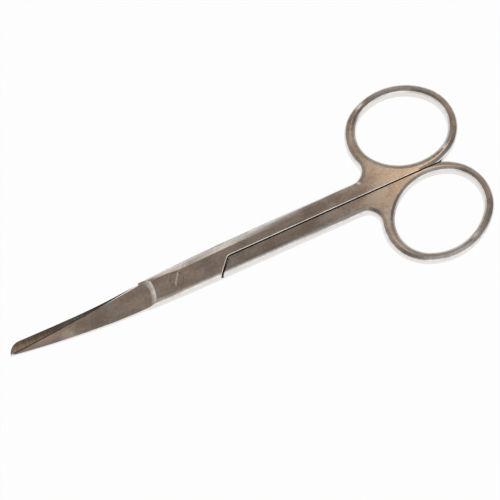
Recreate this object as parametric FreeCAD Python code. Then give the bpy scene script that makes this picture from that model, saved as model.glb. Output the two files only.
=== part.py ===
import FreeCAD, Part
import math
import os

from FreeCAD import Placement, Rotation, Vector

# Curved operating scissors with one sharp and one blunt blade.
# X runs from the blade tips to the finger rings, Y across, Z up from the face that the scissors lie on.
# Shapes are drawn about the screw axis and moved at the end, so that the origin is below the middle.
# Each half is drawn as the front one, with its lock layer on top and its ring on the +Y side.
# The back half is drawn the same way and then turned over about the X axis.

# Overall layout, in millimetres
overall_length = 145.4
tip_reach = 51.5
handle_thickness = 4.4
shank_outer_y = 4.75
parting_gap = 0.45
lock_gap = 0.04

# Lock, where the two halves lap over each other
root_x = -11.0
near_root_y = 4.4
near_flank_end_x = 12.0
far_root_y = 3.8
far_flank_end_x = 26.0
notch_start_x = 12.0
notch_end_x = 16.2
notch_round = 1.3
notch_gap = 0.55
notch_bevel = 0.2

# Shoulder, where the grinding of the blade runs out into the lock
shoulder_x = -7.0
shoulder_arc_radius = 11.0
shoulder_wheel_round = 8.0

# Blades
blade_curve_start = 9.0
blade_curve_radius = 140.0
blade_gap = 0.12
root_thickness = 1.75
tip_thickness = 0.95
crown_radius = 40.0
crown_offset = 1.0
edge_bevel_width = 0.7
edge_thickness = 0.12
edge_bulge = 0.1
spine_round = 0.2
hollow_radius = 25.0
hollow_root_depth = 0.18
hollow_tip_depth = 0.015

# Outline of the sharp blade, in the front half
sharp_spine_points = [(-20.0, -4.3), (-31.0, -3.75), (-42.5, -2.98)]
sharp_point_y = -2.15
sharp_edge_inset = 0.9
sharp_edge_y = -1.4
sharp_end_bulge = 0.1
sharp_corner_round = 0.8

# Outline of the blunt blade, in the back half
blunt_spine_points = [(-21.0, -3.0), (-35.0, -2.15)]
blunt_spine_inset = 3.0
blunt_spine_y = -1.43
blunt_edge_y = 2.1
blunt_end_bulge = 0.8
blunt_corner_round = 0.4

# Finger rings
ring_y = 13.6
ring_tilt = -9.0
back_ring_shift_x = -1.0
back_ring_shift_y = -0.65
limb_width = 3.1
hole_tilt = -14.0
hole_end_radius = 9.8
hole_end_spread = 3.7
hole_side_bulge = 1.3
hole_shift_x = 0.48
hole_shift_y = 0.38
neck_round = 3.8
ridge_fall = 0.45
outer_bevel_width = 1.45
hole_bevel_width = 1.35
wall_round = 0.8
heel_round = 1.5
blade_overlap = 4.2
bevel_stations = 7
bevel_overrun = 1.5
overrun = 1.0

# Pivot screw
screw_head_diameter = 4.2
screw_head_height = 1.1
screw_body_diameter = 3.0
screw_thread_diameter = 2.6
running_clearance = 0.04
screw_sink = 0.05
slot_width = 0.5
slot_depth = 0.45
slot_angle = 58.0

# Places that follow from the sizes above
pivot_x = tip_reach - overall_length / 2.0
pivot_y = back_ring_shift_y / 2.0
mid_z = handle_thickness / 2.0
blade_reach = tip_reach - blade_curve_start
parting_y = parting_gap / 2.0
ring_end_radius = hole_end_radius + limb_width
ring_reach = ring_end_radius + hole_end_spread * math.cos(math.radians(ring_tilt))
ring_x = overall_length - tip_reach - ring_reach
up = Vector(0, 0, 1)
across = Vector(0, 1, 0)
far = 200.0
tiny = 1e-4


def line(a, b):
    return Part.LineSegment(Vector(*a), Vector(*b)).toShape()


def arc(a, b, c):
    return Part.Arc(Vector(*a), Vector(*b), Vector(*c)).toShape()


def smooth(points):
    curve = Part.BSplineCurve()
    curve.interpolate([Vector(x, y, 0) for x, y in points])
    return curve.toShape()


def raise_outline(edges, low, high):
    solid = Part.Face(Part.Wire(edges)).extrude(Vector(0, 0, high - low))
    solid.translate(Vector(0, 0, low))
    return solid


def raise_polygon(points, low, high):
    corners = [Vector(x, y, low) for x, y in points]
    return Part.Face(Part.makePolygon(corners + corners[:1])).extrude(Vector(0, 0, high - low))


def sagitta(radius, reach):
    """Rise of a circle of that radius above its tangent, at that distance from where it touches."""
    return radius - math.sqrt(radius ** 2 - reach ** 2)


class Blank:
    """What differs between the halves, as drawn: each blade's spine is on the -Y side."""

    def __init__(self, bend, spine_root, edge_root, ends, corner_round, ring_spot):
        self.bend = bend
        self.corner_round = corner_round
        self.spine_root_y, self.spine_flank_x = spine_root
        self.edge_root_y, self.edge_flank_x = edge_root
        self.spine_points, self.spine_end, self.end_bulge, self.edge_end = ends
        self.ring_x, self.ring_y = ring_spot

    def cutting_edge(self):
        return bowed(self.edge_end, (root_x, self.edge_root_y), edge_bulge)

    def spine_flank(self):
        """Near side of the lock, clockwise to the root, tangent to the side of the shank behind it."""
        radius, span = flank_curve(self.spine_root_y, self.spine_flank_x)
        return Round(Vector(self.spine_flank_x, radius - shank_outer_y, 0), radius, 270.0, 270.0 - span)

    def edge_flank(self):
        """Far side of the lock, clockwise from the root, tangent to the side of the shank behind it."""
        radius, span = flank_curve(self.edge_root_y, self.edge_flank_x)
        return Round(Vector(self.edge_flank_x, shank_outer_y - radius, 0), radius, 90.0 + span, 90.0)

    def blade_outline(self):
        """Outline of the blade with its overlap into the lock, clockwise."""
        tail_x = root_x + blade_overlap
        spine_root = [(tail_x, -self.spine_root_y), (root_x, -self.spine_root_y)]
        spine = smooth(spine_root + self.spine_points + [self.spine_end])
        end = bowed(self.spine_end, self.edge_end, self.end_bulge)
        edge_tail = line((root_x, self.edge_root_y), (tail_x, self.edge_root_y))
        return [spine, end, self.cutting_edge(), edge_tail, line((tail_x, self.edge_root_y), spine_root[0])]

    def near_side(self, start_x):
        return line((start_x, -shank_outer_y), (self.spine_flank_x, -shank_outer_y))

    def handle_edges(self):
        """Far side of the shank, neck, outside of the ring and heel, clockwise to below the parting."""
        ends = oval_arcs((self.ring_x, self.ring_y), ring_end_radius, ring_tilt)
        right, top, left, bottom = ends
        neck_y = shank_outer_y + neck_round
        reach = left.radius + neck_round
        neck_x = left.centre.x - math.sqrt(reach ** 2 - (left.centre.y - neck_y) ** 2)
        touch = math.degrees(math.atan2(neck_y - left.centre.y, neck_x - left.centre.x)) % 360.0
        low = Vector(bottom.centre.x, bottom.centre.y - bottom.radius, 0)
        heel = Round(Vector(low.x, low.y - heel_round, 0), heel_round, 90.0, 180.0)
        edges = [line((self.edge_flank_x, shank_outer_y), (neck_x, shank_outer_y))]
        edges.append(Round(Vector(neck_x, neck_y, 0), neck_round, 270.0, touch + 180.0).edge())
        edges.append(Round(left.centre, left.radius, touch, left.start).edge())
        edges.append(Round(top.centre, top.radius, top.end, top.start).edge())
        edges.append(Round(right.centre, right.radius, right.end, right.start).edge())
        edges.append(Round(bottom.centre, bottom.radius, bottom.end, 270.0).edge())
        edges.append(heel.edge())
        return edges


class Round:
    """Arc in the XY plane by centre, radius and two angles in degrees."""

    def __init__(self, centre, radius, start, end):
        self.centre = centre
        self.radius = radius
        self.start = start
        self.end = end

    def spot(self, angle):
        turn = math.radians(angle)
        return self.centre + Vector(self.radius * math.cos(turn), self.radius * math.sin(turn), 0)

    def edge(self):
        middle = (self.start + self.end) / 2.0
        return arc(self.spot(self.start), self.spot(middle), self.spot(self.end))

    def longer(self, before, after):
        """The same arc carried on by these lengths, past its start and past its end."""
        turn = math.copysign(math.degrees(1.0 / self.radius), self.end - self.start)
        return Round(self.centre, self.radius, self.start - before * turn, self.end + after * turn)


def flank_curve(root_y, end_x):
    """Radius and span in degrees of a lock side that runs from its root into the straight of the shank."""
    rise = shank_outer_y - root_y
    run = end_x - root_x
    radius = (run ** 2 + rise ** 2) / (2.0 * rise)
    return radius, math.degrees(math.asin(run / radius))


def bowed(a, b, bulge):
    """Arc from a to b that bulges to the left of the way."""
    length = math.hypot(b[0] - a[0], b[1] - a[1])
    middle_x = (a[0] + b[0]) / 2.0 + bulge * (b[1] - a[1]) / -length
    middle_y = (a[1] + b[1]) / 2.0 + bulge * (b[0] - a[0]) / length
    return arc(a, (middle_x, middle_y), b)


def upright_edges(shape, low_x, high_x, low_y, high_y):
    """Vertical edges of a solid that stand inside one rectangle."""
    found = []
    for edge in shape.Edges:
        box = edge.BoundBox
        if box.XLength > tiny or box.YLength > tiny or box.ZLength < overrun:
            continue
        if low_x < box.Center.x < high_x and low_y < box.Center.y < high_y:
            found.append(edge)
    return found


def oval_arcs(spot, end_radius, tilt):
    """Four tangent arcs of an oval, anticlockwise from its right end: round at its ends, flatter between."""
    side_reach = end_radius + hole_side_bulge
    rise = hole_end_spread ** 2 + side_reach ** 2 - end_radius ** 2
    side_y = rise / (2.0 * hole_side_bulge) - side_reach
    join = math.degrees(math.atan2(side_y, hole_end_spread))
    ends = [(hole_end_spread, 0.0, end_radius, join), (0.0, -side_y, side_y + side_reach, 90.0 - join)]
    arcs = []
    ends += [(-x, -y, radius, span) for x, y, radius, span in ends]
    for quarter, (x, y, radius, span) in enumerate(ends):
        centre = Vector(*spot) + Rotation(up, tilt).multVec(Vector(x, y, 0))
        middle = tilt + 90.0 * quarter
        arcs.append(Round(centre, radius, middle - span, middle + span))
    return arcs


def flat_plate(blank):
    """Lock, shank and ring as one flat plate with a smooth outline all round."""
    root = [(root_x, -blank.spine_root_y), (root_x, blank.edge_root_y)]
    handle = blank.handle_edges()
    heel = handle[-1].valueAt(handle[-1].LastParameter)
    near_side = blank.near_side(heel.x)
    edges = [line(heel, (heel.x, -shank_outer_y)), near_side, blank.spine_flank().edge(), line(*root)]
    edges.append(blank.edge_flank().edge())
    return raise_outline(edges + handle, 0.0, handle_thickness)


def rim_sides(spot, out, width, rounded):
    """Closed section of what is taken off outside a wall: a bevel at each face, eased into the wall."""
    slope = math.atan2(ridge_fall, width)
    turn = math.pi / 2.0 - slope
    reach = wall_round * math.tan(turn / 2.0)
    half_high = mid_z - ridge_fall - reach
    ridge = (-width, mid_z)
    bevel_end = (-reach * math.cos(slope), mid_z - ridge_fall + reach * math.sin(slope))
    middle = (wall_round * (math.cos(turn / 2.0) - 1.0), half_high + wall_round * math.sin(turn / 2.0))
    section = [ridge, bevel_end, middle, (0.0, half_high), (0.0, 0.0)]
    section += [(overrun, 0.0), (overrun, mid_z + overrun), (-width, mid_z + overrun)]
    sides = []
    for way in (1.0, -1.0):
        points = [spot + out * away + up * (mid_z + way * rise) for away, rise in section]
        bevel, start, turned, wall, centre = points[:5]
        sides += [line(bevel, start), line(wall, centre)]
        sides += [arc(start, turned, wall)] if rounded else [line(start, turned), line(turned, wall)]
        sides += [line(a, b) for a, b in zip(points[5:], points[6:] + points[:1])]
    return Part.Wire(Part.sortEdges(sides)[0])


def rim_tool(edges, width, rounded):
    """Tool swept along the foot of a wall, which stands to the right of the way that the edges run."""
    path = Part.Wire(edges)
    spot = edges[0].valueAt(edges[0].FirstParameter)
    out = up.cross(edges[0].tangentAt(edges[0].FirstParameter))
    sweep = Part.BRepOffsetAPI.MakePipeShell(path)
    sweep.setBiNormalMode(up)
    sweep.setTransitionMode(1)
    sweep.add(rim_sides(spot, out, width, rounded))
    sweep.build()
    sweep.makeSolid()
    return sweep.shape()


def ringed_plate(blank):
    """Plate with its outline bevelled and the finger hole opened, so that a ridge runs round the ring."""
    plate = flat_plate(blank)
    near_side = [blank.near_side(blank.ring_x), blank.spine_flank().longer(0.0, overrun).edge()]
    far_side = [blank.edge_flank().longer(overrun, 0.0).edge()] + blank.handle_edges()
    spot = (blank.ring_x + hole_shift_x, blank.ring_y + hole_shift_y, 0)
    hole = [part.edge() for part in oval_arcs(spot, hole_end_radius, hole_tilt)]
    core = [part.edge() for part in oval_arcs(spot, hole_end_radius - overrun / 2.0, hole_tilt)]
    tools = [rim_tool(near_side, outer_bevel_width, True), rim_tool(far_side, outer_bevel_width, True)]
    tools.append(rim_tool(hole, hole_bevel_width, False))
    tools.append(raise_outline(core, -overrun, handle_thickness + overrun))
    return plate.cut(tools)


def level_edges(shape, heights):
    """Edges that lie flat at one of the heights."""
    found = []
    for edge in shape.Edges:
        box = edge.BoundBox
        if box.ZLength < tiny and min(abs(box.ZMin - height) for height in heights) < tiny:
            found.append(edge)
    return found


def flared(points, corner, low, high, rim):
    """Cutting prism with one rounded corner, which flares at one height to leave a bevelled rim."""
    tool = raise_polygon(points, low, high)
    low_x, low_y = corner[0] - overrun, corner[1] - overrun
    edges = upright_edges(tool, low_x, corner[0] + overrun, low_y, corner[1] + overrun)
    tool = tool.makeFillet(notch_round, edges)
    level = [face for face in tool.Faces if abs(face.BoundBox.ZMax - low) < tiny][0]
    wide = level.makeOffset2D(notch_bevel)
    inward = math.copysign(notch_bevel, rim - mid_z)
    wide.translate(Vector(0, 0, rim - inward - low))
    flare = wide.extrude(Vector(0, 0, math.copysign(overrun, inward)))
    return tool.fuse(flare.makeChamfer(notch_bevel * (1.0 - tiny), level_edges(flare, [rim - inward])))


def split_side():
    """All that the other half takes above the lap: the far side of the notch and the parting."""
    slope_x = notch_end_x - notch_start_x
    slope_y = parting_y + shank_outer_y
    end = (notch_start_x - slope_x, -shank_outer_y - slope_y)
    turn = (notch_end_x, parting_y)
    corners = [end, turn, (far, parting_y), (far, end[1])]
    return flared(corners, turn, -overrun, handle_thickness + overrun, handle_thickness)


def lap_room():
    """Room below the lap for the other half's lock layer, which is this one's turned over."""
    slope_x = notch_end_x - notch_start_x
    slope_y = parting_y + shank_outer_y
    gap_x = notch_gap / math.cos(math.atan2(slope_x, slope_y))
    start = (notch_start_x - slope_x + gap_x, shank_outer_y + slope_y)
    turn = (notch_end_x + gap_x, -parting_y)
    corners = [start, turn, (turn[0], -far), (-far, -far), (-far, start[1])]
    return flared(corners, turn, -overrun, mid_z + lock_gap / 2.0, 0.0)


def lapped_handle(blank):
    """Lock layer, shank and ring of one half."""
    body = ringed_plate(blank).cut(split_side())
    return body.cut(lap_room())


def dish_height(x, y, bend):
    """Height of the blades' common face: flat round the screw, then a curved dish."""
    reach = max(math.hypot(x, y) - blade_curve_start, 0.0)
    return mid_z + bend * sagitta(blade_curve_radius, reach)


def below_dish(bend):
    """All that lies below a blade: a solid turned about the screw axis, so the gap holds at every opening."""
    edge_x = tip_reach + shank_outer_y
    level = mid_z + blade_gap / 2.0
    middle_x = (blade_curve_start + edge_x) / 2.0
    lift = blade_gap / 2.0
    middle = (middle_x, 0, dish_height(middle_x, 0, bend) + lift)
    rim = (edge_x, 0, dish_height(edge_x, 0, bend) + lift)
    floor = -far / 2.0
    edges = [line((0, 0, floor), (0, 0, level))]
    edges.append(line((0, 0, level), (blade_curve_start, 0, level)))
    edges.append(arc((blade_curve_start, 0, level), middle, rim))
    edges.append(line(rim, (edge_x, 0, floor)))
    edges.append(line((edge_x, 0, floor), (0, 0, floor)))
    return Part.Face(Part.Wire(edges)).revolve(Vector(0, 0, 0), up, 360)


def back_wheel(bend):
    """Radius and centre height of the circle that the blade's outer face follows along its length."""
    rise = bend * sagitta(blade_curve_radius, blade_reach) - (root_thickness - tip_thickness)
    radius = (blade_reach ** 2 + rise ** 2) / (2.0 * abs(rise))
    return radius, mid_z + root_thickness + math.copysign(radius, rise)


def crown_drop(y):
    return sagitta(crown_radius, abs(y + crown_offset))


def outer_height(x, y, bend):
    """Height of the blade's crowned outer face."""
    centre = back_wheel(bend)[1]
    reach = max(-x - blade_curve_start, 0.0)
    top = mid_z + root_thickness - crown_drop(y)
    swing = abs(centre - top)
    return centre - math.copysign(math.sqrt(swing ** 2 - reach ** 2), centre)


def blade_stock(bend):
    """Crowned bar that starts level under the shoulder and follows the blade's curve to its tip."""
    width = shank_outer_y + overrun
    start = -blade_curve_start
    top = mid_z + root_thickness
    spots = []
    for y in (-width, 0.0, width):
        spots.append((start, y, top - crown_drop(y)))
    floor = mid_z - overrun
    edges = [arc(*spots)]
    edges.append(line(spots[2], (start, width, floor)))
    edges.append(line((start, width, floor), (start, -width, floor)))
    edges.append(line((start, -width, floor), spots[0]))
    section = Part.Face(Part.Wire(edges))
    radius, centre = back_wheel(bend)
    swing = math.degrees(math.asin((blade_reach + 2.0) / radius))
    turned = section.revolve(Vector(start, 0, centre), across, math.copysign(swing, centre))
    level = section.extrude(Vector(blade_curve_start + shoulder_x + overrun, 0, 0))
    return turned.fuse(level)


def cutting_edge_y(edge, x):
    """Y of the cutting edge at one X, on the circle of the outline's own arc."""
    centre = edge.Curve.Center
    rise = math.sqrt(edge.Curve.Radius ** 2 - (x - centre.x) ** 2)
    return centre.y + math.copysign(rise, edge.valueAt(edge.FirstParameter).y - centre.y)


def edge_bevel(blank):
    """Wedge that takes the blade's outer face down to its thin cutting edge."""
    start = root_x + overrun
    end = blank.edge_end[0] - overrun
    sections = []
    for step in range(bevel_stations):
        x = start + (end - start) * step / (bevel_stations - 1.0)
        y = cutting_edge_y(blank.cutting_edge(), x)
        low = dish_height(x, y, blank.bend) + blade_gap / 2.0 + edge_thickness
        high = outer_height(x, y - edge_bevel_width, blank.bend)
        slope = (high - low) / edge_bevel_width
        reach = edge_bevel_width * bevel_overrun
        foot = (x, y + reach, low - slope * reach)
        head = (x, y - reach, low + slope * reach)
        corner = (x, y + reach, head[2] + overrun)
        sections.append(Part.makePolygon([Vector(*spot) for spot in (foot, head, corner, foot)]))
    return Part.makeLoft(sections, True, False)


def hollow(blank):
    """Shallow hollow ground along the middle of the blade's inner face, fading out to its tip."""
    start = -blade_curve_start
    lift = mid_z + blade_gap / 2.0 + hollow_root_depth
    rise = blank.bend * sagitta(blade_curve_radius, blade_reach) - hollow_root_depth + hollow_tip_depth
    radius = (blade_reach ** 2 + rise ** 2) / (2.0 * abs(rise))
    width = math.sqrt(hollow_radius)
    fall = sagitta(hollow_radius, width)
    floor = lift - fall - overrun
    edges = [arc((start, -width, lift - fall), (start, 0, lift), (start, width, lift - fall))]
    edges.append(line((start, width, lift - fall), (start, width, floor)))
    edges.append(line((start, width, floor), (start, -width, floor)))
    edges.append(line((start, -width, floor), (start, -width, lift - fall)))
    section = Part.Face(Part.Wire(edges))
    swing = math.degrees(math.asin((blade_reach + 2.0) / radius))
    centre = Vector(start, 0, lift + math.copysign(radius, rise))
    tool = section.revolve(centre, across, math.copysign(swing, rise))
    root_y = (blank.edge_root_y - blank.spine_root_y) / 2.0
    tip_y = (blank.edge_end[1] + blank.spine_end[1]) / 2.0
    lean = math.degrees(math.atan2(root_y - tip_y, root_x + tip_reach))
    tool.rotate(Vector(root_x, 0, 0), up, lean)
    tool.translate(Vector(0, root_y, 0))
    return tool


def shoulder_wheel(blank):
    """Grinding wheel's sweep that takes the lock's face down to the blade in a shallow crescent."""
    spine_side = outer_height(root_x, -blank.spine_root_y, blank.bend)
    edge_side = outer_height(root_x, blank.edge_root_y, blank.bend)
    slope = (spine_side - edge_side) / (blank.spine_root_y + blank.edge_root_y)
    low = edge_side + slope * blank.edge_root_y
    run = math.sqrt(shoulder_wheel_round ** 2 - (shoulder_wheel_round - handle_thickness + low) ** 2)
    inner = shoulder_arc_radius - run
    half = shoulder_wheel_round * math.sin(math.pi / 4.0)
    lift = shoulder_wheel_round * (1.0 - math.cos(math.pi / 4.0))
    rim = (inner + shoulder_wheel_round, 0, low + shoulder_wheel_round)
    edges = [line((0, 0, low), (inner, 0, low))]
    edges.append(arc((inner, 0, low), (inner + half, 0, low + lift), rim))
    edges.append(line(rim, (0, 0, rim[2])))
    edges.append(line((0, 0, rim[2]), (0, 0, low)))
    wheel = Part.Face(Part.Wire(edges)).revolve(Vector(0, 0, 0), up, 360)
    wheel.rotate(Vector(0, 0, low), Vector(1, 0, 0), -math.degrees(math.atan(slope)))
    wheel.translate(Vector(shoulder_x - shoulder_arc_radius, 0, 0))
    return wheel


def rounded_spine(blade, blank):
    """Blade bar with the outer edge of its spine rounded, from the shoulder to the tip."""
    found = []
    for edge in blade.Edges:
        middle = edge.valueAt((edge.FirstParameter + edge.LastParameter) / 2.0)
        is_long = edge.BoundBox.XLength > overrun
        if is_long and middle.y < 0 and middle.z > dish_height(middle.x, middle.y, blank.bend):
            found.append(edge)
    return blade.makeFillet(spine_round, found)


def ground_blade(blank, body):
    """One blade: its outline raised through the curved bar, mated below and bevelled along its edge."""
    plan = raise_outline(blank.blade_outline(), -far / 4.0, far / 4.0)
    corner = upright_edges(plan, -far, root_x, blank.edge_end[1] - tiny, blank.edge_end[1] + tiny)
    plan = plan.makeFillet(blank.corner_round, corner)
    blade = rounded_spine(blade_stock(blank.bend).common(plan), blank)
    around = Part.makeBox(-root_x, far, far, Vector(root_x, -far / 2.0, -far / 2.0)).cut(body)
    blade = blade.cut([around, below_dish(blank.bend), edge_bevel(blank)])
    return blade.cut(hollow(blank))


def half(blank):
    """One forged half: blade, lock layer, shank and ring in one piece."""
    body = lapped_handle(blank)
    blade = ground_blade(blank, body)
    return body.cut(shoulder_wheel(blank)).fuse(blade).removeSplitter()


def cylinder(radius, low, high):
    return Part.makeCylinder(radius, high - low, Vector(0, 0, low))


def slot():
    tool = Part.makeBox(screw_head_diameter * 2.0, slot_width, slot_depth * 2.0)
    floor = handle_thickness - screw_sink - slot_depth
    tool.translate(Vector(-screw_head_diameter, -slot_width / 2.0, floor))
    tool.rotate(Vector(0, 0, 0), up, slot_angle)
    return tool


def pivot_screw():
    """Slotted screw: its head lies in the front half, its body is the pivot, its end holds the back half."""
    top = handle_thickness - screw_sink
    seat = handle_thickness - screw_head_height
    lap = mid_z - lock_gap / 2.0
    screw = cylinder(screw_head_diameter / 2.0, seat + running_clearance, top)
    screw = screw.fuse(cylinder(screw_body_diameter / 2.0, lap, seat + running_clearance))
    screw = screw.fuse(cylinder(screw_thread_diameter / 2.0, screw_sink, lap))
    return screw.removeSplitter().cut(slot())


def front_blank():
    """The front half has the sharp blade; its spine is on the near side, which is -Y."""
    near = (near_root_y, near_flank_end_x)
    beyond = (far_root_y, far_flank_end_x)
    spine_end = (-tip_reach, sharp_point_y)
    edge_end = (sharp_edge_inset - tip_reach, sharp_edge_y)
    ends = (sharp_spine_points, spine_end, sharp_end_bulge, edge_end)
    return Blank(1.0, near, beyond, ends, sharp_corner_round, (ring_x, ring_y))


def back_blank():
    """The back half has the blunt blade and is turned over, so its spine comes to the far side."""
    near = (near_root_y, near_flank_end_x)
    beyond = (far_root_y, far_flank_end_x)
    spine_end = (blunt_spine_inset - tip_reach, blunt_spine_y)
    edge_end = (-tip_reach, blunt_edge_y)
    ends = (blunt_spine_points, spine_end, blunt_end_bulge, edge_end)
    ring_spot = (ring_x + back_ring_shift_x, ring_y + back_ring_shift_y)
    return Blank(-1.0, beyond, near, ends, blunt_corner_round, ring_spot)


def front_half():
    """Front half, bored for the screw's body and recessed for its head."""
    body = half(front_blank())
    seat = handle_thickness - screw_head_height
    body = body.cut(cylinder(screw_body_diameter / 2.0 + running_clearance, 0.0, seat + overrun))
    return body.cut(cylinder(screw_head_diameter / 2.0 + running_clearance, seat, handle_thickness + overrun))


def back_half():
    """Back half, turned over so that its lock layer is the lower one, and tapped for the screw."""
    body = half(back_blank())
    body.rotate(Vector(0, 0, mid_z), Vector(1, 0, 0), 180)
    return body.cut(cylinder(screw_thread_diameter / 2.0, -overrun, handle_thickness))


def write(name, shape):
    shape.translate(Vector(pivot_x, pivot_y, 0))
    shape.exportStep(os.path.join("parts", name + ".step"))


os.makedirs("parts", exist_ok=True)
write("front_half", front_half())
write("back_half", back_half())
write("pivot_screw", pivot_screw())
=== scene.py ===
import logging
import math
from dataclasses import dataclass
from enum import Enum
from typing import Any, Optional, Union

import bpy
from mathutils import Matrix, Vector

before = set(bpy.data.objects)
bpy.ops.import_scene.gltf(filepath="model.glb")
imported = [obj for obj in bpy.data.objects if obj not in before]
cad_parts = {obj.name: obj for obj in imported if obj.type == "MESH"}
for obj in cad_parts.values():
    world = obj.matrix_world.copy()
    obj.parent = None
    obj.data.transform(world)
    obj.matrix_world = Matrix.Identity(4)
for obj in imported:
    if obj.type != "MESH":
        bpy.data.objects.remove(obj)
log = logging.getLogger("scissors")

MILLIMETRE = 0.001
PIVOT = (-21.2 * MILLIMETRE, -0.325 * MILLIMETRE, 0.0)
HALF_WIDTH = 4.75
NOISE_MIDDLE = 0.5
Colour = tuple[float, float, float]
Span = tuple[float, float]
Number = Union[float, "Wire"]


class Grain(Enum):
    """Which way polishing lines run: each value draws out the noise that makes them."""

    ALONG = (0.03, 1.0, 1.0)
    ACROSS = (1.0, 0.08, 1.0)
    EVEN = (0.5, 0.5, 0.5)


class Wire:
    """A shader socket that adds, subtracts, multiplies and divides like a number."""

    def __init__(self, graph: "Graph", socket: bpy.types.NodeSocket) -> None:
        """Wrap one output socket.

        Args:
            graph: the material or world graph that the socket is in.
            socket: the output socket.
        """
        self.graph = graph
        self.socket = socket

    def _math(self, operation: str, *values: Number) -> "Wire":
        """Add one Math node.

        Args:
            operation: the node's operation.
            values: the node's inputs in order.

        Returns:
            The node's result.
        """
        return self.graph.node("ShaderNodeMath", {"operation": operation}, dict(enumerate(values)))

    def __add__(self, other: Number) -> "Wire":
        """Sum of the two."""
        return self._math("ADD", self, other)

    __radd__ = __add__

    def __sub__(self, other: Number) -> "Wire":
        """This less the other."""
        return self._math("SUBTRACT", self, other)

    def __rsub__(self, other: Number) -> "Wire":
        """The other less this."""
        return self._math("SUBTRACT", other, self)

    def __mul__(self, other: Number) -> "Wire":
        """Product of the two."""
        return self._math("MULTIPLY", self, other)

    __rmul__ = __mul__

    def __truediv__(self, other: Number) -> "Wire":
        """This divided by the other."""
        return self._math("DIVIDE", self, other)

    def above_zero(self) -> "Wire":
        """The number where it is positive, 0 elsewhere."""
        return self._math("MAXIMUM", self, 0.0)

    def absolute(self) -> "Wire":
        """Size without its sign."""
        return self._math("ABSOLUTE", self)

    def ramp(self, low: float, high: float) -> "Wire":
        """Smooth step from 0 at low to 1 at high.

        Args:
            low: value at which the result is 0.
            high: value at which the result is 1.

        Returns:
            The smoothed result.
        """
        settings = {"interpolation_type": "SMOOTHSTEP"}
        inputs = {0: self, 1: low, 2: high, 3: 0.0, 4: 1.0}
        return self.graph.node("ShaderNodeMapRange", settings, inputs)


class Graph:
    """The nodes of one material or world."""

    def __init__(self, tree: bpy.types.NodeTree) -> None:
        """Start from an empty tree.

        Args:
            tree: the tree to fill.
        """
        self.tree = tree
        self.tree.nodes.clear()

    def node(
        self, kind: str, settings: dict[str, Any], inputs: dict[Any, Any], output: Any = 0
    ) -> Wire:
        """Add a node, set it and join its sockets.

        Args:
            kind: the node's type.
            settings: its properties, set before its sockets.
            inputs: values or wires by socket name or number.
            output: name or number of the socket to return.

        Returns:
            The chosen output.
        """
        made = self.tree.nodes.new(kind)
        for name, value in settings.items():
            setattr(made, name, value)
        for name, value in inputs.items():
            if isinstance(value, Wire):
                self.tree.links.new(value.socket, made.inputs[name])
            else:
                made.inputs[name].default_value = value
        return Wire(self, made.outputs[output])

    def finish(self, kind: str, surface: Wire) -> None:
        """Join the tree's output node.

        Args:
            kind: the output node's type.
            surface: the shader that it shows.
        """
        output = self.tree.nodes.new(kind)
        self.tree.links.new(surface.socket, output.inputs["Surface"])

    def place(self) -> Wire:
        """Position on the piece from the foot of the pivot's axis, in millimetres."""
        spot = self.node("ShaderNodeTexCoord", {}, {}, "Object")
        shifted = self.node("ShaderNodeVectorMath", {"operation": "SUBTRACT"}, {0: spot, 1: PIVOT})
        return self.scaled(shifted, (1.0 / MILLIMETRE,) * 3)

    def axis(self, vector: Wire, name: str) -> Wire:
        """One of the parts X, Y or Z of a vector."""
        return self.node("ShaderNodeSeparateXYZ", {}, {"Vector": vector}, name)

    def scaled(self, vector: Wire, scale: tuple[float, float, float]) -> Wire:
        """The vector with each of its parts multiplied."""
        settings = {"operation": "MULTIPLY"}
        return self.node("ShaderNodeVectorMath", settings, {0: vector, 1: scale})

    def noise(self, vector: Wire, scale: float, detail: float) -> Wire:
        """Noise from 0 to 1.

        Args:
            vector: where it is read.
            scale: how fine it is.
            detail: how many finer layers it has.

        Returns:
            The noise value.
        """
        inputs = {"Vector": vector, "Scale": scale, "Detail": detail}
        return self.node("ShaderNodeTexNoise", {}, inputs, "Fac")

    def ray(self, kind: str) -> Wire:
        """Whether the ray that sees the surface is of a kind, as 1 or 0."""
        return self.node("ShaderNodeLightPath", {}, {}, kind)

    def facing(self) -> Wire:
        """How far the surface faces up, from -1 to 1."""
        return self.axis(self.node("ShaderNodeNewGeometry", {}, {}, "Normal"), "Z")

    def bump(self, height: Wire, distance: float, strength: float, normal: Any = None) -> Wire:
        """Normal of a surface with relief.

        Args:
            height: the relief.
            distance: how deep a height of 1 is, in metres.
            strength: how much of it shows, from 0 to 1.
            normal: the normal that it adds to, if any.

        Returns:
            The new normal.
        """
        inputs = {"Strength": strength, "Distance": distance, "Height": height}
        if normal is not None:
            inputs["Normal"] = normal
        return self.node("ShaderNodeBump", {}, inputs)

    def blend(self, amount: Number, first: Any, second: Any) -> Wire:
        """Colour that goes from the first to the second.

        Args:
            amount: 0 for the first, 1 for the second.
            first: colour or wire.
            second: colour or wire.

        Returns:
            The mixed colour.
        """
        settings = {"data_type": "RGBA"}
        inputs = {0: amount, 6: opaque(first), 7: opaque(second)}
        return self.node("ShaderNodeMix", settings, inputs, 2)


def opaque(colour: Any) -> Any:
    """A colour with alpha 1, or the wire unchanged."""
    return colour if isinstance(colour, Wire) else (*colour, 1.0)


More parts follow.
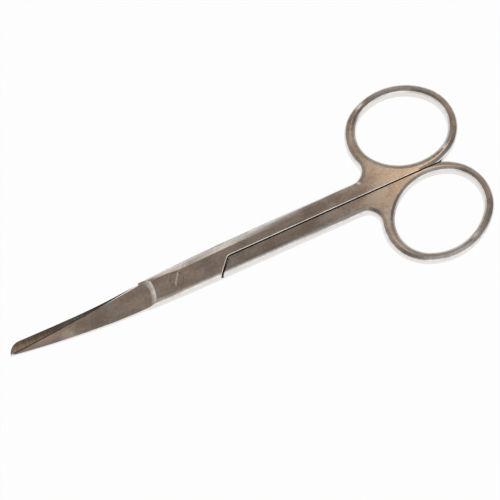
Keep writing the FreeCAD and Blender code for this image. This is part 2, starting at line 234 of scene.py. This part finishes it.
@dataclass(frozen=True)
class SatinSteel:
    """Satin stainless steel with fine polishing lines, soft mottling and a faint warm cast.

    A span holds the two limits of a soft edge. Noise is read in millimetres.
    """

    name: str
    grain: Grain = Grain.ALONG
    tint: Colour = (0.90, 0.875, 0.85)
    shade: Colour = (0.66, 0.62, 0.585)
    roughness: float = 0.13
    roughness_swing: float = 0.08
    line_scale: float = 5.0
    line_detail: float = 4.0
    line_depth: float = 0.000002
    line_strength: float = 0.3
    cloud_stretch: tuple[float, float, float] = (0.6, 1.0, 1.0)
    cloud_scale: float = 0.22
    cloud_detail: float = 5.0
    cloud_share: float = 0.5
    speck_scale: float = 1.1
    speck_detail: float = 3.0
    fine_share: float = 0.25
    mottle_edge: Span = (0.41, 0.59)
    plain_mottle: float = 0.7
    flat_facing: Span = (0.2, 0.9)

    def lines(self, graph: Graph, place: Wire, grain: Grain) -> Wire:
        """Polishing lines.

        Args:
            graph: the material's graph.
            place: position in millimetres.
            grain: which way they run.

        Returns:
            Noise from 0 to 1, drawn out along the lines.
        """
        return graph.noise(graph.scaled(place, grain.value), self.line_scale, self.line_detail)

    def grained(self, graph: Graph, place: Wire) -> Wire:
        """The lines that this finish has all over."""
        return self.lines(graph, place, self.grain)

    def coloured(self, graph: Graph, place: Wire, colour: Wire) -> Wire:
        """The steel's colour with what is special to one piece; none here."""
        return colour

    def roughened(self, graph: Graph, place: Wire, rough: Wire) -> Wire:
        """The steel's roughness with what is special to one piece; none here."""
        return rough

    def relief(self, graph: Graph, place: Wire, bump: Wire) -> Wire:
        """The surface's normal with what is special to one piece; none here."""
        return bump

    def mottled(self, graph: Graph, place: Wire, lines: Wire, cloud: Wire) -> Wire:
        """The steel's own colour, mottled where the surface faces up or down.

        Args:
            graph: the material's graph.
            place: position in millimetres.
            lines: the polishing lines.
            cloud: broad noise.

        Returns:
            A colour between the shade and the tint.
        """
        speck = graph.noise(place, self.speck_scale, self.speck_detail)
        mixed = cloud * self.cloud_share + lines * self.fine_share + speck * self.fine_share
        flat = graph.facing().absolute().ramp(*self.flat_facing)
        mottle = (mixed.ramp(*self.mottle_edge) - self.plain_mottle) * flat + self.plain_mottle
        return graph.blend(mottle, self.shade, self.tint)

    def build(self) -> bpy.types.Material:
        """Make the material.

        Returns:
            The finished material.
        """
        material = bpy.data.materials.new(self.name)
        material.use_nodes = True
        graph = Graph(material.node_tree)
        place = graph.place()
        lines = self.grained(graph, place)
        broad = graph.scaled(place, self.cloud_stretch)
        cloud = graph.noise(broad, self.cloud_scale, self.cloud_detail)
        uneven = (lines - NOISE_MIDDLE) + (cloud - NOISE_MIDDLE)
        rough = uneven * self.roughness_swing + self.roughness
        bump = graph.bump(lines, self.line_depth, self.line_strength)
        inputs = {
            "Base Color": self.coloured(graph, place, self.mottled(graph, place, lines, cloud)),
            "Metallic": 1.0,
            "Roughness": self.roughened(graph, place, rough),
            "Normal": self.relief(graph, place, bump),
        }
        surface = graph.node("ShaderNodeBsdfPrincipled", {}, inputs)
        graph.finish("ShaderNodeOutputMaterial", surface)
        return material


@dataclass(frozen=True)
class LongEdge:
    """One long edge of the lock and shank, polished round over its bevel; in millimetres.

    It lies HALF_WIDTH from the middle, at +Y where way is 1 and at -Y where way is -1, and from
    sag_start on it draws in towards the blade as a parabola. The bevel is the solid's own. The
    round starts round_width inside the edge and falls with round_slope at the edge itself.
    """

    way: float
    sag_start: float
    sag_length: float
    sag_depth: float
    round_width: float
    round_slope: float
    bevel_width: float = 1.45
    bevel_slope: float = 0.31

    def fall(self, graph: Graph, place: Wire) -> Wire:
        """How far the round surface lies below the bevelled one.

        Args:
            graph: the material's graph.
            place: position in millimetres.

        Returns:
            The fall in millimetres.
        """
        drawn = (self.sag_start - graph.axis(place, "X")).above_zero() / self.sag_length
        edge = HALF_WIDTH - drawn * drawn * self.sag_depth
        inside = edge - graph.axis(place, "Y") * self.way
        reach = (self.round_width - inside).above_zero()
        rounded = reach * reach * (self.round_slope / (2.0 * self.round_width))
        return rounded - (self.bevel_width - inside).above_zero() * self.bevel_slope


@dataclass(frozen=True)
class HalfSteel(SatinSteel):
    """Steel of a forged half: plain rings and painted shade on the blade's inner face, tip and
    gaps.

    Lengths are in millimetres from the foot of the pivot's axis. inner_way is 1 where the blade's
    inner face looks up and -1 where it looks down.
    """

    inner_way: float = 1.0
    # painted shade on the inner face; the cross marks blended between these are real grinding marks
    inner_painted_shade_pale: Colour = (0.29, 0.275, 0.265)
    inner_painted_shade_dark: Colour = (0.16, 0.152, 0.147)
    inner_marks: Span = (0.35, 0.65)
    inner_facing: Span = (0.4, 0.7)
    inner_start: Span = (10.8, 11.6)
    # painted shade: a greyer, darker colour on the upward faces near the tip
    tip_painted_shade: Colour = (0.37, 0.37, 0.395)
    tip_cover: float = 0.9
    tip_start: Span = (34.0, 38.0)
    tip_facing: Span = (0.75, 0.92)
    ring_start: Span = (47.0, 59.0)
    ring_contrast: float = 0.4
    # painted shade: dark colour on the walls between the halves, where shade falls
    gap_painted_shade: Colour = (0.24, 0.215, 0.195)
    gap_roughness: float = 0.6
    wall_facing: Span = (0.3, 0.6)
    mid_height: float = 2.2
    lap_height: Span = (0.05, 0.15)
    notch_foot: float = 12.0
    notch_lean: float = 0.928
    notch_start: Span = (-0.3, -0.1)
    notch_end: Span = (0.9, 1.1)
    notch_side: Span = (4.6, 4.8)
    parting_start: Span = (12.0, 13.0)
    parting_side: Span = (0.3, 0.4)
    far_edge: LongEdge = LongEdge(
        way=1.0, sag_start=26.0, sag_length=37.0, sag_depth=0.95, round_width=2.9, round_slope=0.85
    )
    near_edge: LongEdge = LongEdge(
        way=-1.0, sag_start=12.0, sag_length=23.0, sag_depth=0.35, round_width=2.0, round_slope=0.68
    )
    round_start: Span = (-9.0, 5.0)
    round_end: Span = (26.0, 54.0)

    def grained(self, graph: Graph, place: Wire) -> Wire:
        """Lines along the blade and shank that give way to a fainter even grain on the ring.

        Args:
            graph: the material's graph.
            place: position in millimetres.

        Returns:
            Noise from 0 to 1.
        """
        ring = graph.axis(place, "X").ramp(*self.ring_start)
        along = self.lines(graph, place, Grain.ALONG)
        even = (self.lines(graph, place, Grain.EVEN) - NOISE_MIDDLE) * self.ring_contrast
        return along * (1.0 - ring) + (even + NOISE_MIDDLE) * ring

    def inner_face(self, graph: Graph, place: Wire) -> Wire:
        """Mask of the blade's inner face, where shade is painted.

        Args:
            graph: the material's graph.
            place: position in millimetres.

        Returns:
            1 on the face that the other blade slides over, 0 elsewhere.
        """
        facing = (graph.facing() * self.inner_way).ramp(*self.inner_facing)
        return facing * (graph.axis(place, "X") * -1.0).ramp(*self.inner_start)

    def gaps(self, graph: Graph, place: Wire) -> Wire:
        """Mask of the walls in the shanks' parting and the lock's notches, where shade is painted.

        Args:
            graph: the material's graph.
            place: position in millimetres.

        Returns:
            1 inside the gaps, 0 elsewhere.
        """
        x = graph.axis(place, "X")
        side = graph.axis(place, "Y").absolute()
        upright = 1.0 - graph.facing().absolute().ramp(*self.wall_facing)
        above = graph.axis(place, "Z") - self.mid_height
        lap = 1.0 - above.absolute().ramp(*self.lap_height)
        past = x - (HALF_WIDTH - side) * self.notch_lean - self.notch_foot
        notch = past.ramp(*self.notch_start) * (1.0 - past.ramp(*self.notch_end))
        notch = notch * (1.0 - side.ramp(*self.notch_side))
        parting = x.ramp(*self.parting_start) * (1.0 - side.ramp(*self.parting_side))
        return (notch * (upright + lap) + parting * upright).ramp(0.0, 1.0)

    def coloured(self, graph: Graph, place: Wire, colour: Wire) -> Wire:
        """The steel's colour with painted shade on the tip's top, the inner face and the gaps.

        Args:
            graph: the material's graph.
            place: position in millimetres.
            colour: the steel's own colour.

        Returns:
            The finished colour.
        """
        # painted shade on the inner face, broken by real cross grinding marks
        marks = self.lines(graph, place, Grain.ACROSS).ramp(*self.inner_marks)
        inner = graph.blend(marks, self.inner_painted_shade_dark, self.inner_painted_shade_pale)
        # painted shade on the upward faces near the tip
        tip = (graph.axis(place, "X") * -1.0).ramp(*self.tip_start)
        tip = tip * graph.facing().ramp(*self.tip_facing)
        shown = graph.blend(tip * self.tip_cover, colour, self.tip_painted_shade)
        shown = graph.blend(self.inner_face(graph, place), shown, inner)
        # painted shade in the gaps between the halves
        return graph.blend(self.gaps(graph, place), shown, self.gap_painted_shade)

    def roughened(self, graph: Graph, place: Wire, rough: Wire) -> Wire:
        """The steel's roughness, dull in the gaps.

        Args:
            graph: the material's graph.
            place: position in millimetres.
            rough: the steel's own roughness.

        Returns:
            The finished roughness.
        """
        return rough + self.gaps(graph, place) * self.gap_roughness

    def relief(self, graph: Graph, place: Wire, bump: Wire) -> Wire:
        """Normal with the long edges of the lock and shank polished round.

        Args:
            graph: the material's graph.
            place: position in millimetres.
            bump: the normal so far.

        Returns:
            The finished normal.
        """
        x = graph.axis(place, "X")
        along = x.ramp(*self.round_start) * (1.0 - x.ramp(*self.round_end))
        fall = self.far_edge.fall(graph, place) + self.near_edge.fall(graph, place)
        return graph.bump(fall * along * -1.0, MILLIMETRE, 1.0, bump)


@dataclass(frozen=True)
class ScrewSteel(SatinSteel):
    """Steel of the screw, with a bright milled slot and a darker line round its head.

    Lengths are in millimetres from the foot of the pivot's axis.
    """

    slot_angle: float = 58.0
    slot_side: Span = (0.27, 0.31)
    slot_top: Span = (4.3, 4.38)
    milled: Colour = (0.95, 0.91, 0.86)
    milled_roughness: float = 0.5
    rim_radius: Span = (1.8, 2.05)
    rim_tint: Colour = (0.297, 0.279, 0.26325)
    rim_cover: float = 0.35

    def slot(self, graph: Graph, place: Wire) -> Wire:
        """Mask of the slot.

        Args:
            graph: the material's graph.
            place: position in millimetres.

        Returns:
            1 in the slot, 0 elsewhere.
        """
        turn = math.radians(self.slot_angle)
        x, y = graph.axis(place, "X"), graph.axis(place, "Y")
        across = y * math.cos(turn) - x * math.sin(turn)
        below = 1.0 - graph.axis(place, "Z").ramp(*self.slot_top)
        return (1.0 - across.absolute().ramp(*self.slot_side)) * below

    def coloured(self, graph: Graph, place: Wire, colour: Wire) -> Wire:
        """The steel's colour with its slot and the line round its head.

        Args:
            graph: the material's graph.
            place: position in millimetres.
            colour: the steel's own colour.

        Returns:
            The finished colour.
        """
        x, y = graph.axis(place, "X"), graph.axis(place, "Y")
        inside, outside = self.rim_radius
        rim = (x * x + y * y).ramp(inside ** 2, outside ** 2)
        shown = graph.blend(rim * self.rim_cover, colour, self.rim_tint)
        return graph.blend(self.slot(graph, place), shown, self.milled)

    def roughened(self, graph: Graph, place: Wire, rough: Wire) -> Wire:
        """The steel's roughness, duller in the milled slot.

        Args:
            graph: the material's graph.
            place: position in millimetres.
            rough: the steel's own roughness.

        Returns:
            The finished roughness.
        """
        return rough + self.slot(graph, place) * self.milled_roughness


@dataclass
class SteelPiece:
    """One steel piece of the scissors, kept as packed and dressed in its finish."""

    node: str
    finish: SatinSteel

    def dress(self) -> bpy.types.Object:
        """Give the piece its finish.

        Returns:
            The piece's object.
        """
        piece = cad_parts[self.node]
        piece.data.materials.clear()
        piece.data.materials.append(self.finish.build())
        return piece


@dataclass(frozen=True)
class Zone:
    """Part of the surround with its own colour and soft edges.

    Each span holds the two limits of one edge, in the X (along the scissors) or the Y (across them)
    of the direction. The colour comes in over a "from" span and goes out over a "to" span.
    """

    colour: Colour
    along_from: Optional[Span] = None
    along_to: Optional[Span] = None
    across_from: Optional[Span] = None
    across_to: Optional[Span] = None

    def over(self, graph: Graph, along: Wire, across: Wire, behind: Any) -> Wire:
        """Lay the zone over the surround so far.

        Args:
            graph: the world's graph.
            along: X of the direction.
            across: Y of the direction.
            behind: the colour so far.

        Returns:
            The colour with the zone.
        """
        shown: Number = 1.0
        for part, start in ((along, self.along_from), (across, self.across_from)):
            if start is not None:
                shown = part.ramp(*start) * shown
        for part, end in ((along, self.along_to), (across, self.across_to)):
            if end is not None:
                shown = (1.0 - part.ramp(*end)) * shown
        return graph.blend(shown, behind, self.colour)


@dataclass
class Studio:
    """Plain floor, surround and camera.

    The camera sees the surround as white. The steel mirrors a dim warm ceiling with paler areas, a
    grey horizon and white walls past the tip and on the near side. Lengths are in metres and angles
    in degrees. A span is in parts of a direction, as in a zone.
    """

    shot_distance: float = 294.0 * MILLIMETRE
    tilt: float = 15.0
    turn: float = 24.1
    target: tuple[float, float, float] = (1.59 * MILLIMETRE, -0.745 * MILLIMETRE, 2.2 * MILLIMETRE)
    pixels_per_metre: float = 3440.0
    frame_pixels: float = 500.0
    sensor: float = 36.0
    clip_start: float = 0.01
    floor_reach: float = 3.0
    floor_tint: Colour = (0.9, 0.9, 0.9)
    floor_glow: float = 0.97
    mirrored_glow: float = 0.86
    white: Colour = (1.0, 1.0, 1.0)
    pale_ceiling: Colour = (0.27, 0.215, 0.18)
    ceiling: Zone = Zone((0.205, 0.165, 0.138), along_from=(-0.1, 0.0))
    ceiling_end: Zone = Zone((0.35, 0.285, 0.235), along_from=(0.12, 0.17))
    window: Zone = Zone(
        (0.55, 0.5, 0.46), along_from=(0.09, 0.12), along_to=(0.14, 0.17), across_to=(0.21, 0.25)
    )
    near_tip: Zone = Zone((0.13, 0.111, 0.097), along_to=(-0.16, -0.115), across_to=(-0.2, 0.2))
    near_ring: Zone = Zone((0.13, 0.111, 0.097), along_from=(-0.055, -0.01), across_to=(-0.2, 0.2))
    far_ceiling: Zone = Zone(
        (0.33, 0.285, 0.245), along_from=(0.03, 0.12), across_from=(0.42, 0.62)
    )
    warm_wall: Zone = Zone(
        (0.95, 0.68, 0.47),
        along_from=(0.138, 0.156),
        along_to=(0.35, 0.5),
        across_from=(0.2, 0.235),
        across_to=(0.4, 0.55),
    )
    lamp: Zone = Zone(
        (1.0, 0.93, 0.84),
        along_from=(-0.08, -0.045),
        along_to=(-0.025, 0.01),
        across_from=(0.59, 0.72),
        across_to=(0.96, 1.09),
    )
    horizon: Colour = (0.68, 0.69, 0.68)
    horizon_height: Span = (0.0, 0.6)
    tip_wall: Zone = Zone((1.0, 1.0, 1.0), along_to=(-1.0, -0.32))
    near_wall: Span = (-0.8, 0.08)

    def camera(self) -> None:
        """Stand the camera at the photograph's viewing angle."""
        away = Vector((0.0, -math.tan(math.radians(self.tilt)), 1.0)).normalized()
        right = Vector((1.0, 0.0, 0.0))
        level = Matrix((right, away.cross(right), away)).transposed()
        roll = Matrix.Rotation(-math.radians(self.turn), 3, "Z")
        placed = (level @ roll).to_4x4()
        placed.translation = Vector(self.target) + self.shot_distance * away
        data = bpy.data.cameras.new("camera")
        data.sensor_width = self.sensor
        data.lens = self.sensor * self.pixels_per_metre * self.shot_distance / self.frame_pixels
        data.clip_start = self.clip_start
        holder = bpy.data.objects.new("camera", data)
        bpy.context.scene.collection.objects.link(holder)
        holder.matrix_world = placed
        bpy.context.scene.camera = holder

    def floor(self) -> None:
        """Lay the pale floor that takes the scissors' shadow and is near white when seen."""
        mesh = bpy.data.meshes.new("floor")
        corners = [(-1.0, -1.0), (1.0, -1.0), (1.0, 1.0), (-1.0, 1.0)]
        points = [(x * self.floor_reach, y * self.floor_reach, 0.0) for x, y in corners]
        mesh.from_pydata(points, [], [(0, 1, 2, 3)])
        floor = bpy.data.objects.new("floor", mesh)
        bpy.context.scene.collection.objects.link(floor)
        material = bpy.data.materials.new("floor_white")
        material.use_nodes = True
        graph = Graph(material.node_tree)
        diffuse = graph.node("ShaderNodeBsdfDiffuse", {}, {"Color": opaque(self.floor_tint)})
        glow = graph.node("ShaderNodeEmission", {}, {"Color": opaque(self.white), "Strength": 1.0})
        seen = graph.ray("Is Camera Ray") * self.floor_glow
        seen = seen + graph.ray("Is Glossy Ray") * self.mirrored_glow
        surface = graph.node("ShaderNodeMixShader", {}, {0: seen, 1: diffuse, 2: glow})
        graph.finish("ShaderNodeOutputMaterial", surface)
        mesh.materials.append(material)

    def surround(self) -> None:
        """Light the scene from all round, zone by zone, with plain white for the camera."""
        world = bpy.data.worlds.new("studio")
        bpy.context.scene.world = world
        world.use_nodes = True
        graph = Graph(world.node_tree)
        direction = graph.node("ShaderNodeTexCoord", {}, {}, "Generated")
        along, across, height = (graph.axis(direction, name) for name in "XYZ")
        middle = (self.ceiling, self.ceiling_end, self.window)
        sides = (self.near_tip, self.near_ring, self.far_ceiling, self.warm_wall, self.lamp)
        colour: Any = self.pale_ceiling
        for zone in middle + sides:
            colour = zone.over(graph, along, across, colour)
        colour = graph.blend(height.ramp(*self.horizon_height), self.horizon, colour)
        colour = self.tip_wall.over(graph, along, across, colour)
        low = 1.0 - across.ramp(*self.near_wall)
        colour = graph.blend(low * low, colour, self.white)
        colour = graph.blend(graph.ray("Is Camera Ray"), colour, self.white)
        light = graph.node("ShaderNodeBackground", {}, {"Color": colour, "Strength": 1.0})
        graph.finish("ShaderNodeOutputWorld", light)

    def build(self) -> None:
        """Set up the whole studio."""
        bpy.context.scene.view_settings.view_transform = "Standard"
        self.floor()
        self.surround()
        self.camera()


def main() -> None:
    """Build the studio, dress each piece and report it."""
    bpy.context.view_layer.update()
    Studio().build()
    front = SteelPiece("front_half", HalfSteel("front_satin", inner_way=-1.0))
    back = SteelPiece("back_half", HalfSteel("back_satin", inner_way=1.0))
    screw = SteelPiece("pivot_screw", ScrewSteel("screw_satin", grain=Grain.EVEN))
    for part in (front, back, screw):
        piece = part.dress()
        log.info("dressed %s", piece.name)


if __name__ == "__main__":
    logging.basicConfig(level=logging.INFO)
    main()
